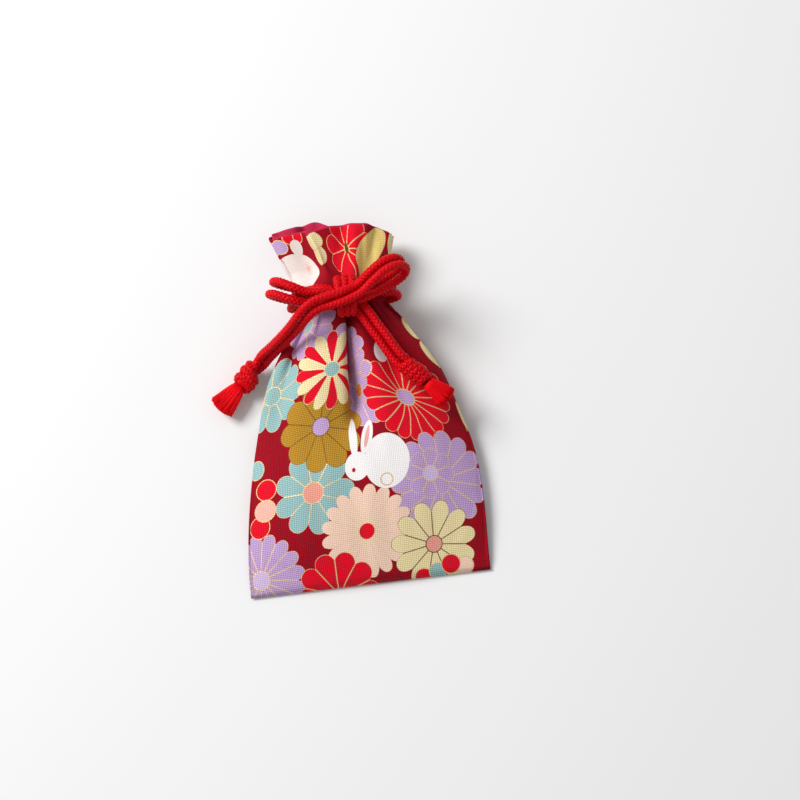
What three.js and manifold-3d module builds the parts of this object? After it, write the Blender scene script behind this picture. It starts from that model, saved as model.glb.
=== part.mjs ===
// A small drawstring amulet pouch of printed cotton with a plain lining, tied shut with a bow.
// It lies on its back. Units are millimetres: +X across, +Y from the bottom fold to the mouth, +Z up.
import * as THREE from "three";
import { mergeVertices } from "three/addons/utils/BufferGeometryUtils.js";
import Module from "manifold-3d";

const wasm = await Module();
wasm.setup();

// Bag, outside sizes
const BAG_WIDTH = 64;
const BAG_LENGTH = 95;
const BELLY_THICKNESS = 12.5;
const FOLD_THICKNESS = 2;
const NECK_WIDTH = 24;
const NECK_THICKNESS = 15.4;
const NECK_HEIGHT = 76;
const MOUTH_WIDTH = 37;
const MOUTH_THICKNESS = 17;
const LEAN = 2;

// Cloth layers
const CLOTH = 0.6;
const LINING = 0.4;
const LAYER_GAP = 0.4;
const LINING_RIM = 1.2;
const LINING_START = 3;

// Gathers
const PLEATS = 8;
const NECK_PLEAT = 1.4;
const SHOULDER_PLEAT = 2.2;
const MOUTH_PLEAT = 2.4;
const PLEAT_START = 36;
const RIM_DIP = 3.5;

// Cord, knots and tassels
const CORD_DIAMETER = 2.4;
const CORD_CLEARANCE = 0.3;
const BOW_KNOT = new THREE.Vector3(9.4, 9, 7.2);
const BOW_KNOT_DROP = 1.6;
const END_KNOT_LENGTH = 8;
const END_KNOT_WIDTH = 6.6;
const TASSEL_LENGTH = 7.5;
const TASSEL_WIDTH = 5.4;

// Mesh fineness
const SEGMENTS = 48;
const BODY_ROWS = 11;
const CASING_ROWS = 2;
const FRILL_ROWS = 5;
const CORD_SIDES = 8;
const CORD_STEP = 2;
const RING_STEP = 0.9;

// Sizes that follow from the ones above
const CASING_HEIGHT = 2 * CORD_DIAMETER + 3 * CORD_CLEARANCE;
const CASING_BOTTOM = NECK_HEIGHT - CASING_HEIGHT / 2;
const CASING_TOP = NECK_HEIGHT + CASING_HEIGHT / 2;
const CASING_GAP = CORD_DIAMETER + 2 * CORD_CLEARANCE;
const CORD_INSET = CLOTH + CORD_CLEARANCE + CORD_DIAMETER / 2;
const OVERALL_LENGTH = BAG_LENGTH + LINING_RIM;

const mix = THREE.MathUtils.lerp;
const ramp = (from, to, value) => THREE.MathUtils.smoothstep(value, from, to);
const vec = (x, y, z) => new THREE.Vector3(x, y, z);

// Form of the bag at a height above the bottom fold

const frillShare = (height) => THREE.MathUtils.clamp((height - CASING_TOP) / (BAG_LENGTH - CASING_TOP), 0, 1);
const gathering = (height) => ramp(PLEAT_START, CASING_BOTTOM, height);

function halfWidth(height) {
  const SHOULDER_POWER = 2.8;
  const neck = NECK_WIDTH / 2 - NECK_PLEAT;
  const mouth = MOUTH_WIDTH / 2 - MOUTH_PLEAT;
  if (height > CASING_BOTTOM) return mix(neck, mouth, frillShare(height));
  return mix(BAG_WIDTH / 2, neck, (height / CASING_BOTTOM) ** SHOULDER_POWER);
}

function topHeight(height) {
  const BELLY_SHARE = 0.55;
  const neck = NECK_THICKNESS - NECK_PLEAT;
  const mouth = MOUTH_THICKNESS - MOUTH_PLEAT;
  const bulge = 1 - (1 - Math.min(height / (BELLY_SHARE * CASING_BOTTOM), 1)) ** 2;
  const belly = mix(FOLD_THICKNESS, BELLY_THICKNESS, bulge);
  if (height > CASING_TOP) return mix(neck, mouth, frillShare(height));
  return mix(belly, neck, gathering(height));
}

function seamHeight(height) {
  const BELLY_SEAM = 0.3;
  const middle = mix(NECK_THICKNESS, MOUTH_THICKNESS, frillShare(height)) / 2;
  return mix(BELLY_SEAM * topHeight(height), middle, gathering(height));
}

function pleatDepth(height) {
  const shoulder = (PLEAT_START + CASING_BOTTOM) / 2;
  const rise = ramp(PLEAT_START, shoulder, height) * (1 - ramp(shoulder, CASING_BOTTOM, height));
  const neck = NECK_PLEAT * gathering(height) + (SHOULDER_PLEAT - NECK_PLEAT / 2) * rise;
  return mix(neck, MOUTH_PLEAT, frillShare(height));
}

// How far the cloth stands out in a pleat: nothing in a valley, the whole depth on a ridge.
function pleat(around, height) {
  const UNEVEN = 0.25;
  const turn = 2 * Math.PI * around;
  const size = 1 + UNEVEN * Math.cos(3 * turn + 0.6);
  const wave = (1 - Math.cos(PLEATS * (turn + 0.07 * Math.sin(4 * turn)))) / 2;
  return pleatDepth(height) * size * wave;
}

const rimHeight = (around) => BAG_LENGTH - RIM_DIP * Math.cos(2 * Math.PI * around) ** 2;

// A point of the cloth, around the bag from the right seam over the front, at a depth under the outer face.
function clothPoint(around, height, inset, pleatShare) {
  const LENS_POWER = 2.6;
  const SEAM_INSET = 2;
  const BACK_SAG = 1.5;
  const angle = 2 * Math.PI * around;
  const across = Math.cos(angle);
  const gathered = gathering(height);
  const crown = Math.max(1 - Math.abs(across) ** mix(LENS_POWER, 2, gathered), 0) ** mix(1, 0.5, gathered);
  const sideInset = inset * mix(SEAM_INSET, 1, gathered) * Math.abs(across) ** mix(2, 0, gathered);
  const side = (halfWidth(height) - sideInset) * across;
  const seam = seamHeight(height);
  const rise = topHeight(height) - seam - inset;
  const drop = mix((1 + BACK_SAG) * seam, seam - pleatDepth(height), gathered) - inset;
  const out = new THREE.Vector2(across / halfWidth(height), Math.sin(angle) / topHeight(height)).normalize();
  const fold = pleatShare * pleat(around, height);
  const lean = LEAN * ramp(0, PLEAT_START, height) * (1 - frillShare(height));
  const z = Math.sin(angle) >= 0 ? seam + rise * crown : seam - drop * crown;
  return vec(lean + side + fold * out.x, height, Math.max(z + fold * out.y, inset));
}

// Heights of the rings of a cloth layer, closer together at the fold and the neck.
// The frill's rings follow the rim.
function ringHeights(start, rimRise) {
  const rows = [];
  for (let i = 0; i <= BODY_ROWS; i++) {
    const height = CASING_BOTTOM * ramp(0, 1, i / BODY_ROWS);
    if (height > start) rows.push(() => height);
  }
  rows.unshift(() => start);
  for (let i = 1; i <= CASING_ROWS; i++) rows.push(() => mix(CASING_BOTTOM, CASING_TOP, i / CASING_ROWS));
  for (let i = 1; i <= FRILL_ROWS; i++)
    rows.push((around) => mix(CASING_TOP, rimHeight(around) + rimRise, i / FRILL_ROWS));
  return rows;
}

// One face of a layer as rings of points. The lining stands back in the casing to leave room for the cords.
function clothFace(rows, inset, isLining) {
  const CASING_EASE = 4;
  return rows.map((row) =>
    Array.from({ length: SEGMENTS }, (_, i) => {
      const around = i / SEGMENTS;
      const height = row(around);
      const below = ramp(CASING_BOTTOM - CASING_EASE, CASING_BOTTOM, height);
      const above = ramp(CASING_TOP, CASING_TOP + CASING_EASE, height);
      const casing = isLining ? below * (1 - above) : 0;
      return clothPoint(around, height, inset + (CASING_GAP - LAYER_GAP) * casing, 1 - casing);
    }),
  );
}

// A closed shell between an outer and an inner face, open at the mouth.
function clothShell(outer, inner) {
  const rings = [...outer, ...[...inner].reverse()];
  const index = [];
  const at = (ring, i) => ring * SEGMENTS + (i % SEGMENTS);
  const quad = (a, b, c, d) => index.push(a, b, c, a, c, d);
  for (let r = 0; r + 1 < rings.length; r++)
    for (let i = 0; i < SEGMENTS; i++) {
      const corners = [at(r, i), at(r + 1, i), at(r + 1, i + 1), at(r, i + 1)];
      if (r >= outer.length) corners.push(corners.shift());
      quad(...corners);
    }
  const last = rings.length - 1;
  const half = SEGMENTS / 2;
  for (let i = 0; i < half; i++) {
    const front = [i, i + 1];
    const back = [SEGMENTS - i, SEGMENTS - i - 1];
    if (i + 1 < half) {
      index.push(at(0, front[0]), at(0, front[1]), at(0, back[1]));
      index.push(at(last, front[0]), at(last, back[1]), at(last, front[1]));
    }
    if (i > 0) {
      index.push(at(0, front[0]), at(0, back[1]), at(0, back[0]));
      index.push(at(last, front[0]), at(last, back[0]), at(last, back[1]));
    }
  }
  const geometry = new THREE.BufferGeometry().setFromPoints(rings.flat());
  geometry.setIndex(index);
  geometry.computeVertexNormals();
  return geometry;
}

// Solids for cuts and joins

function solidOf(geometry) {
  const bare = geometry.clone();
  bare.deleteAttribute("normal");
  bare.deleteAttribute("uv");
  const merged = mergeVertices(bare, 1e-4);
  const vertProperties = merged.attributes.position.array;
  const triVerts = new Uint32Array(merged.index.array);
  return new wasm.Manifold(new wasm.Mesh({ numProp: 3, vertProperties, triVerts }));
}

function geometryOf(solid) {
  const { vertProperties, triVerts } = solid.getMesh();
  const geometry = new THREE.BufferGeometry();
  geometry.setAttribute("position", new THREE.BufferAttribute(vertProperties, 3));
  geometry.setIndex(new THREE.BufferAttribute(triVerts, 1));
  geometry.computeVertexNormals();
  return geometry;
}

const joined = (geometries) => geometryOf(geometries.map(solidOf).reduce((whole, piece) => whole.add(piece)));

// Cloth pieces

const SLIT_HALF = CORD_DIAMETER + 3 * CORD_CLEARANCE;

// The printed cloth, with a slit in each side seam where the cords leave the casing.
function outerBag() {
  const rows = ringHeights(0, 0);
  const inside = ringHeights(CLOTH, 0);
  const shell = clothShell(clothFace(rows, 0, false), clothFace(inside, CLOTH, false));
  const slitDepth = CLOTH + NECK_PLEAT + 2 * CORD_CLEARANCE;
  const slit = new THREE.BoxGeometry(2 * slitDepth, CASING_HEIGHT, 2 * SLIT_HALF);
  const wall = NECK_WIDTH / 2 - NECK_PLEAT;
  const cut = (side) => slit.clone().translate(LEAN + side * wall, NECK_HEIGHT, NECK_THICKNESS / 2);
  return geometryOf(solidOf(shell).subtract(solidOf(cut(-1))).subtract(solidOf(cut(1))));
}

// The plain lining, which shows as a narrow rolled edge above the printed cloth.
function liningBag() {
  const inset = CLOTH + LAYER_GAP;
  const outside = clothFace(ringHeights(LINING_START, LINING_RIM), inset, true);
  const inside = clothFace(ringHeights(LINING_START + LINING, LINING_RIM), inset + LINING, true);
  return clothShell(outside, inside);
}

// Cords

// A round cord along a smooth line through the points.
function cordTube(points, step = CORD_STEP) {
  const line = new THREE.CatmullRomCurve3(points);
  const corner = (i) => {
    const angle = (2 * Math.PI * i) / CORD_SIDES;
    return new THREE.Vector2(Math.cos(angle), Math.sin(angle)).multiplyScalar(CORD_DIAMETER / 2);
  };
  const section = new THREE.Shape(Array.from({ length: CORD_SIDES }, (_, i) => corner(i)));
  const steps = Math.ceil(line.getLength() / (step * CORD_DIAMETER));
  return new THREE.ExtrudeGeometry(section, { steps, extrudePath: line, bevelEnabled: false });
}

const neckCentre = vec(LEAN, NECK_HEIGHT, NECK_THICKNESS / 2);
const bowCentre = vec(LEAN, NECK_HEIGHT, NECK_THICKNESS - NECK_PLEAT / 2 + CORD_CLEARANCE + BOW_KNOT.z / 2);

// A drawcord: out of the bow, in at one side slit, round the neck inside the casing, out again and back.
// Its free leads are lists of points from the neck's centre, for the cord that enters on the right.
function drawcord(side, ringShift) {
  const RING_OPENING = 0.45;
  const RING_POINTS = 14;
  const FRONT_LEAD = [vec(5.4, 1.9, 8.3), vec(9, 2.1, 6.9), vec(12.2, 2.2, 4.6), vec(13.2, 1.2, 2.2)];
  const BACK_LEAD = [vec(5.4, -0.6, 8.2), vec(9.2, -0.5, 6.7), vec(13, -0.5, 4.5), vec(14.3, -1, 0.8)];
  const wide = NECK_WIDTH / 2 - NECK_PLEAT - CORD_INSET;
  const tall = NECK_THICKNESS / 2 - NECK_PLEAT - CORD_INSET;
  const ring = Array.from({ length: RING_POINTS }, (_, i) => {
    const angle = mix(RING_OPENING, 2 * Math.PI - RING_OPENING, i / (RING_POINTS - 1));
    return vec(wide * Math.cos(angle), ringShift, tall * Math.sin(angle));
  });
  const route = [...FRONT_LEAD, ...ring, ...[...BACK_LEAD].reverse()];
  return cordTube(route.map((p) => vec(side * p.x, p.y, p.z).add(neckCentre)), RING_STEP);
}

// Two strands side by side, each the middle line moved by a share of the spread at that point.
function strand(middle, spread, side) {
  const apart = (i) => spread[Math.min(i, spread.length - 1)];
  return middle.map((p, i) => p.clone().addScaledVector(apart(i), side).add(bowCentre));
}

// The bow's loops and tails as points from the middle of its knot, and the way the two strands lie apart.
const LEFT_LOOP = [
  vec(-5.2, -1.9, 1.75),
  vec(-9.2, -1.4, 2.1),
  vec(-13.2, 0.2, 3.5),
  vec(-16.9, 2.2, 2.4),
  vec(-18.4, 3, -0.6),
  vec(-16.3, 2.5, -3.4),
  vec(-12.4, 0.8, -2.4),
  vec(-8.8, -0.7, -0.8),
  vec(-5.3, -1.3, -0.55),
];
const LEFT_LOOP_SPREAD = [
  vec(0, 1.6, 0.85),
  vec(0, 1.5, 0.9),
  vec(0.3, 1.6, 0.5),
  vec(0.6, 1.6, 0.2),
  vec(0.7, 1.55, 0),
  vec(0.5, 1.6, 0.2),
  vec(0.2, 1.6, 0.6),
  vec(0, 1.5, 0.75),
];
const RIGHT_LOOP = [
  vec(4.6, -0.9, 3.6),
  vec(8.2, 1.5, 5.4),
  vec(11.8, 3.8, 5.8),
  vec(15.1, 4.9, 4.4),
  vec(16.8, 4.5, 1.4),
  vec(15.8, 3.2, -1.2),
  vec(12.2, 1.3, -1.5),
  vec(8.4, -0.5, -0.4),
  vec(5.2, -1.8, 0.6),
];
const RIGHT_LOOP_SPREAD = [vec(-0.55, 1.15, -0.5)];
const LEFT_TAIL = [
  vec(-4.3, -3.5, 4.3),
  vec(-6.6, -4, 4.5),
  vec(-9, -5.2, 4.5),
  vec(-11.2, -6.8, 3.4),
  vec(-13.7, -8.5, 0.3),
  vec(-16.6, -10.1, -3.1),
  vec(-19.9, -11.6, -7.5),
  vec(-22.8, -12.7, -11.8),
  vec(-24.3, -13.6, -14.2),
  vec(-25.2, -14.4, -14.3),
];
const LEFT_TAIL_SPREAD = [
  vec(-0.4, 1.05, 0.6),
  vec(-0.5, 0.95, 0.7),
  vec(-0.7, 0.8, 0.7),
  vec(-0.85, 0.55, 0.75),
  vec(-0.95, 0.3, 0.8),
  vec(-0.97, 0.2, 0.8),
  vec(-0.97, 0.25, 0.8),
  vec(-0.85, 0.45, 0.9),
  vec(-0.5, 0.65, 1.05),
  vec(-0.35, 0.45, 1.2),
];
const RIGHT_TAIL = [
  vec(5.2, -6.4, -1.6),
  vec(7.1, -9.9, -1.8),
  vec(9, -13.2, -2.1),
  vec(10.9, -16.6, -2.7),
  vec(12.6, -19.4, -3),
  vec(13.5, -20.3, -3.3),
];
const RIGHT_TAIL_SPREAD = [
  vec(1, 0.5, 0.55),
  vec(1, 0.5, 0.55),
  vec(1, 0.5, 0.55),
  vec(1, 0.55, 0.55),
  vec(0.9, 0.8, 0.4),
  vec(0.85, 0.95, 0.2),
];

// Knots and tassels

// A lump of cord: a rounded core with strands wrapped round it, along X.
function cordKnot(length, width, thickness, wraps, slant) {
  const RING_SEGMENTS = 14;
  const RING_SIDES = 8;
  const radius = CORD_DIAMETER / 2;
  const core = new THREE.SphereGeometry(1, 12, 8);
  core.scale(length / 2, (width - radius) / 2, (thickness - radius) / 2);
  const rings = wraps.map((x) =>
    new THREE.TorusGeometry(1, radius / (width / 2 - radius), RING_SIDES, RING_SEGMENTS)
      .rotateY(Math.PI / 2)
      .scale(width / 2 - radius, width / 2 - radius, thickness / 2 - radius)
      .rotateZ(slant)
      .translate(x, 0, 0),
  );
  return joined([core, ...rings]);
}

const PAIR = [-CORD_DIAMETER / 2, CORD_DIAMETER / 2];
const bowKnot = () => cordKnot(BOW_KNOT.x, BOW_KNOT.y, BOW_KNOT.z, PAIR, 0);
const endKnot = () => cordKnot(END_KNOT_LENGTH, END_KNOT_WIDTH, END_KNOT_WIDTH, PAIR, 0.35);

// The frayed ends of two strands, spreading to a brush.
function tassel() {
  const waist = CORD_DIAMETER * 0.75;
  const brush = TASSEL_WIDTH / 2;
  const end = TASSEL_LENGTH;
  const outline = [
    new THREE.Vector2(0, 0),
    new THREE.Vector2(waist, 0),
    new THREE.Vector2(mix(waist, brush, 0.4), 0.4 * end),
    new THREE.Vector2(brush, 0.85 * end),
    new THREE.Vector2(0.75 * brush, end),
    new THREE.Vector2(0, 0.95 * end),
  ];
  return new THREE.LatheGeometry(outline, 14).rotateZ(-Math.PI / 2);
}

// Assembly

const printed = new THREE.MeshStandardMaterial({ color: 0xb01030, roughness: 0.85 });
const plain = new THREE.MeshStandardMaterial({ color: 0xb8124a, roughness: 0.9 });
const braid = new THREE.MeshStandardMaterial({ color: 0xc4101c, roughness: 0.5 });

const pouch = new THREE.Group();
pouch.position.y = -OVERALL_LENGTH / 2;

function add(name, geometry, material, parent = pouch) {
  const mesh = new THREE.Mesh(geometry, material);
  mesh.name = name;
  parent.add(mesh);
  return mesh;
}

add("outer_bag", outerBag(), printed);
add("lining_bag", liningBag(), plain);

const ringShift = CORD_DIAMETER / 2 + 0.75 * CORD_CLEARANCE;
add("drawcord_left", drawcord(-1, ringShift), braid);
add("drawcord_right", drawcord(1, -ringShift), braid);
add("bow_knot", bowKnot(), braid).position.copy(bowCentre).y -= BOW_KNOT_DROP;

add("bow_loop_left_upper", cordTube(strand(LEFT_LOOP, LEFT_LOOP_SPREAD, 1)), braid);
add("bow_loop_left_lower", cordTube(strand(LEFT_LOOP, LEFT_LOOP_SPREAD, -1)), braid);
add("bow_loop_right_upper", cordTube(strand(RIGHT_LOOP, RIGHT_LOOP_SPREAD, 1)), braid);
add("bow_loop_right_lower", cordTube(strand(RIGHT_LOOP, RIGHT_LOOP_SPREAD, -1)), braid);

// A tail's end: its knot, and the tassel that the knot keeps from fraying further.
function tailEnd(side, middle) {
  const last = middle[middle.length - 1];
  const along = last.clone().sub(middle[middle.length - 2]).normalize();
  const end = new THREE.Group();
  end.position.copy(last).add(bowCentre);
  end.quaternion.setFromUnitVectors(vec(1, 0, 0), along);
  pouch.add(end);
  const knotPlace = CORD_CLEARANCE + END_KNOT_LENGTH / 2;
  add(`end_knot_${side}`, endKnot(), braid, end).position.x = knotPlace;
  add(`tassel_${side}`, tassel(), braid, end).position.x = knotPlace + END_KNOT_LENGTH / 2 + CORD_CLEARANCE;
}

for (const [side, middle, spread] of [
  ["left", LEFT_TAIL, LEFT_TAIL_SPREAD],
  ["right", RIGHT_TAIL, RIGHT_TAIL_SPREAD],
]) {
  add(`tail_${side}_upper`, cordTube(strand(middle, spread, 1)), braid);
  add(`tail_${side}_lower`, cordTube(strand(middle, spread, -1)), braid);
  tailEnd(side, middle);
}

export default pouch;
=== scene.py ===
# %% [markdown]
# # A small drawstring amulet pouch
# The pouch is a flat bag of printed cotton with a plain cerise lining. Braided cords run through a
# casing at its neck and are tied in a bow, so the flat cloth closes in pleats below the bow and opens
# in a ruffle above it. Sizes in this lesson are written in millimetres and become metres in the meshes.

# %% Setup and the fixed frame
import math
from functools import partial

import bmesh
import bpy
import numpy as np
from mathutils import Matrix, Vector, noise


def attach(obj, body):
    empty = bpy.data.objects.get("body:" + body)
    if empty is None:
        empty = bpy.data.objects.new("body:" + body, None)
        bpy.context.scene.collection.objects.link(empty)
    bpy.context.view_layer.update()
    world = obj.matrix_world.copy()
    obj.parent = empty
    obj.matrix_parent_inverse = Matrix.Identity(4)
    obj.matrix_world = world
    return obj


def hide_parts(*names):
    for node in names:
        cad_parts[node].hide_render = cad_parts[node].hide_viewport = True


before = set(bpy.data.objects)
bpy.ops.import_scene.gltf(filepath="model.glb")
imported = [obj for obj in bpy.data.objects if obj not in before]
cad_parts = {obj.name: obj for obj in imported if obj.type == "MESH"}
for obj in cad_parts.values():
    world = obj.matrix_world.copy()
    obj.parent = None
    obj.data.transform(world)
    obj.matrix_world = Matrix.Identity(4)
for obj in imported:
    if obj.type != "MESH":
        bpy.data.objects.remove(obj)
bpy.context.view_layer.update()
MM = 0.001

# %% [markdown]
# ## Camera
# A pouch lies on its back, so the camera looks down on it, a little from the side of the bottom fold.
# The camera could be turned by angles, but three directions (right, up and back) are easier to check:
# they are the columns of the camera's rotation. A small roll gives the pouch its tilt in the picture.

# %% Camera
CAMERA_TILT = math.radians(80)
CAMERA_ROLL = math.radians(7)
CAMERA_DISTANCE = 0.446
CAMERA_AIM = Vector((13.6, -0.6, 5.0)) * MM

back = Vector((0, -math.cos(CAMERA_TILT), math.sin(CAMERA_TILT)))
level = Vector((1, 0, 0))
upward = back.cross(level)
right = level * math.cos(CAMERA_ROLL) - upward * math.sin(CAMERA_ROLL)
up = level * math.sin(CAMERA_ROLL) + upward * math.cos(CAMERA_ROLL)
camera = bpy.data.objects.new("camera", bpy.data.cameras.new("camera"))
camera.data.lens = 75
camera.data.sensor_width = 36
turned = Matrix((right, up, back)).transposed().to_4x4()
camera.matrix_world = Matrix.Translation(CAMERA_AIM + back * CAMERA_DISTANCE) @ turned
bpy.context.scene.collection.objects.link(camera)
bpy.context.scene.camera = camera
print("camera at", tuple(round(x, 3) for x in camera.matrix_world.translation))

# %% [markdown]
# ## Routes of the cords
# Each cord follows a short list of given points, measured from the middle of the bow's knot.
# A smooth curve through them gives the way the cord really lies. Two strands lie side by side, each
# moved from the middle line by half of their spread.

# %% Cord routes
CORD, CORD_STEP = 2.4, 0.3
BOW_MIDDLE = np.array((2.0, 27.9, 18.6))
NECK_MIDDLE = np.array((2.0, 27.9, 7.7))
LEFT_LOOP = [(-5.2, -1.9, 1.75), (-9.2, -1.4, 2.1), (-13.2, 0.2, 3.5), (-16.9, 2.2, 2.4), (-18.4, 3, -0.6),
             (-16.3, 2.5, -3.4), (-12.4, 0.8, -2.4), (-8.8, -0.7, -0.8), (-5.3, -1.3, -0.55)]
LEFT_LOOP_SPREAD = [(0, 1.6, 0.85), (0, 1.5, 0.9), (0.3, 1.6, 0.5), (0.6, 1.6, 0.2), (0.7, 1.55, 0),
                    (0.5, 1.6, 0.2), (0.2, 1.6, 0.6), (0, 1.5, 0.75), (0, 1.5, 0.75)]
RIGHT_LOOP = [(4.6, -0.9, 3.6), (8.2, 1.5, 5.4), (11.8, 3.8, 5.8), (15.1, 4.9, 4.4), (16.8, 4.5, 1.4),
              (15.8, 3.2, -1.2), (12.2, 1.3, -1.5), (8.4, -0.5, -0.4), (5.2, -1.8, 0.6)]
RIGHT_LOOP_SPREAD = [(-0.55, 1.15, -0.5)] * 9
LEFT_TAIL = [(-4.3, -3.5, 4.3), (-6.6, -4, 4.5), (-9, -5.2, 4.5), (-11.2, -6.8, 3.4), (-13.7, -8.5, 0.3),
             (-16.6, -10.1, -3.1), (-19.9, -11.6, -7.5), (-22.8, -12.7, -11.8), (-24.3, -13.6, -14.2),
             (-25.2, -14.4, -14.3)]
LEFT_TAIL_SPREAD = [(-0.4, 1.05, 0.6), (-0.5, 0.95, 0.7), (-0.7, 0.8, 0.7), (-0.85, 0.55, 0.75),
                    (-0.95, 0.3, 0.8), (-0.97, 0.2, 0.8), (-0.97, 0.25, 0.8), (-0.85, 0.45, 0.9),
                    (-0.5, 0.65, 1.05), (-0.35, 0.45, 1.2)]
RIGHT_TAIL = [(5.2, -6.4, -1.6), (7.1, -9.9, -1.8), (9, -13.2, -2.1), (10.9, -16.6, -2.7), (12.6, -19.4, -3),
              (13.5, -20.3, -3.3)]
RIGHT_TAIL_SPREAD = [(1, 0.5, 0.55), (1, 0.5, 0.55), (1, 0.5, 0.55), (1, 0.55, 0.55), (0.9, 0.8, 0.4),
                     (0.85, 0.95, 0.2)]


def strand(middle, spread, side):
    """One of two strands that lie side by side, in the frame's millimetres."""
    return np.array(middle, float) + side * np.array(spread, float) + BOW_MIDDLE


def smooth_path(points, step):
    """Evenly spaced points on a smooth curve that passes through the given ones."""
    p = np.asarray(points, float)
    p = np.vstack([2 * p[0] - p[1], p, 2 * p[-1] - p[-2]])
    knot = np.concatenate([[0], np.cumsum(np.linalg.norm(np.diff(p, axis=0), axis=1) ** 0.5)])
    line = []
    for i in range(1, len(p) - 2):
        t = np.linspace(knot[i], knot[i + 1], 24, endpoint=False)[:, None]

        def between(a, b, first, last):
            return ((knot[last] - t) * a + (t - knot[first]) * b) / (knot[last] - knot[first])

        a1 = between(p[i - 1], p[i], i - 1, i)
        a2 = between(p[i], p[i + 1], i, i + 1)
        a3 = between(p[i + 1], p[i + 2], i + 1, i + 2)
        b1 = between(a1, a2, i - 1, i + 1)
        b2 = between(a2, a3, i, i + 2)
        line.append(between(b1, b2, i, i + 1))
    line = np.vstack(line + [p[-2:-1]])
    return evenly(line, step)


def distances(line):
    """How far along the line each of its points is."""
    return np.concatenate([[0], np.cumsum(np.linalg.norm(np.diff(line, axis=0), axis=1))])


def evenly(line, step):
    """The same line with points at an even spacing."""
    along = distances(line)
    marks = np.linspace(0, along[-1], max(int(round(along[-1] / step)), 3) + 1)
    return np.stack([np.interp(marks, along, line[:, k]) for k in range(3)], 1)


def unit(v):
    return v / np.maximum(np.linalg.norm(v, axis=-1, keepdims=True), 1e-9)


def length_of(line):
    return float(np.linalg.norm(np.diff(line, axis=0), axis=1).sum())


END_KNOT = 8.0


def into_knot(tail, spread, side):
    """Points that take a strand on from the end of its tail into the knot there."""
    end, before = np.array(tail[-1]), np.array(tail[-2])
    along = unit(end - before)
    apart = side * np.array(spread[-1])
    return np.array([end + along * 4.2 + apart * 0.25, end + along * 1.8 + apart * 0.6]) + BOW_MIDDLE


OVER_KNOT = [(0.4, -2.5, 4.1)]
UNDER_KNOT = [(2.8, -3.6, -1.6), (-1.4, -1.6, -1.0)]
ROUTES = {}
for mark, side in (("upper", 1), ("lower", -1)):
    tail = strand(LEFT_TAIL, LEFT_TAIL_SPREAD, side)
    loop = strand(RIGHT_LOOP, RIGHT_LOOP_SPREAD, side)
    over = strand(OVER_KNOT, [(-0.35, 1.15, 0.2)], side)
    ROUTES["left_tail_" + mark] = [into_knot(LEFT_TAIL, LEFT_TAIL_SPREAD, side), tail[::-1], over, loop,
                                   loop[-1:] + (-2.6, -0.4, -0.5)]
    tail = strand(RIGHT_TAIL, RIGHT_TAIL_SPREAD, side)
    loop = strand(LEFT_LOOP, LEFT_LOOP_SPREAD, side)
    under = strand(UNDER_KNOT, [(0.9, 0.7, 0), (0.1, 1.3, 0.5)], side)
    ROUTES["right_tail_" + mark] = [into_knot(RIGHT_TAIL, RIGHT_TAIL_SPREAD, side), tail[::-1], under,
                                    loop[::-1], loop[:1] + (2.8, -0.6, -0.9)]
ROUTES = {name: smooth_path(np.vstack(parts), CORD_STEP) for name, parts in ROUTES.items()}
for name, line in ROUTES.items():
    print(name, "is", round(length_of(line), 1), "mm long")

# %% [markdown]
# ## A round braid
# The cord is braided from eight yarns. Four wind one way round it and four the other way, and where two
# meet one goes over and the other under. A bump map on a smooth tube would be cheaper, but its outline
# would stay smooth, so every yarn here is a thin tube of its own on a helix whose radius goes up and down.

# %% Braid helper
BRAID_PITCH = 4.4
YARN_SIDES = 6
# shares of the cord's radius: how far out the yarns run, how far they go over and under, their half sizes
YARN_PLACE, YARN_SWING, YARN_WIDE, YARN_THICK = 0.66, 0.11, 0.4, 0.27


def frames_along(line):
    """Two directions across the line that don't twist round it."""
    run = unit(np.gradient(line, axis=0))
    across = np.zeros_like(line)
    start = np.array((0.0, 0.0, 1.0)) if abs(run[0][2]) < 0.9 else np.array((1.0, 0.0, 0.0))
    for i, r in enumerate(run):
        start = start - r * np.dot(start, r)
        start /= np.linalg.norm(start)
        across[i] = start
    return across, np.cross(run, across)


def tube(centre, wide, thick, across, out, sides, first, closed=False):
    """Points, faces and face-corner marks of a tube with an oval section."""
    count = len(centre)
    angle = np.arange(sides) * 2 * np.pi / sides
    ring = (centre[:, None] + np.cos(angle)[None, :, None] * (wide * across)[:, None]
            + np.sin(angle)[None, :, None] * (thick * out)[:, None])
    faces, marks = [], []
    along = distances(centre)
    for i in range(count if closed else count - 1):
        j = (i + 1) % count
        far = along[j] if j else along[-1] + along[1]
        for k in range(sides):
            m = (k + 1) % sides
            near_row, far_row = first + i * sides, first + j * sides
            faces.append((near_row + k, near_row + m, far_row + m, far_row + k))
            this, then = k / sides, (k + 1) / sides
            marks += [(this, along[i]), (then, along[i]), (then, far), (this, far)]
    if not closed:
        for i, order in ((0, range(sides - 1, -1, -1)), (count - 1, range(sides))):
            faces.append(tuple(first + i * sides + k for k in order))
            marks += [(k / sides, along[i]) for k in order]
    return ring.reshape(-1, 3), faces, marks


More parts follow.
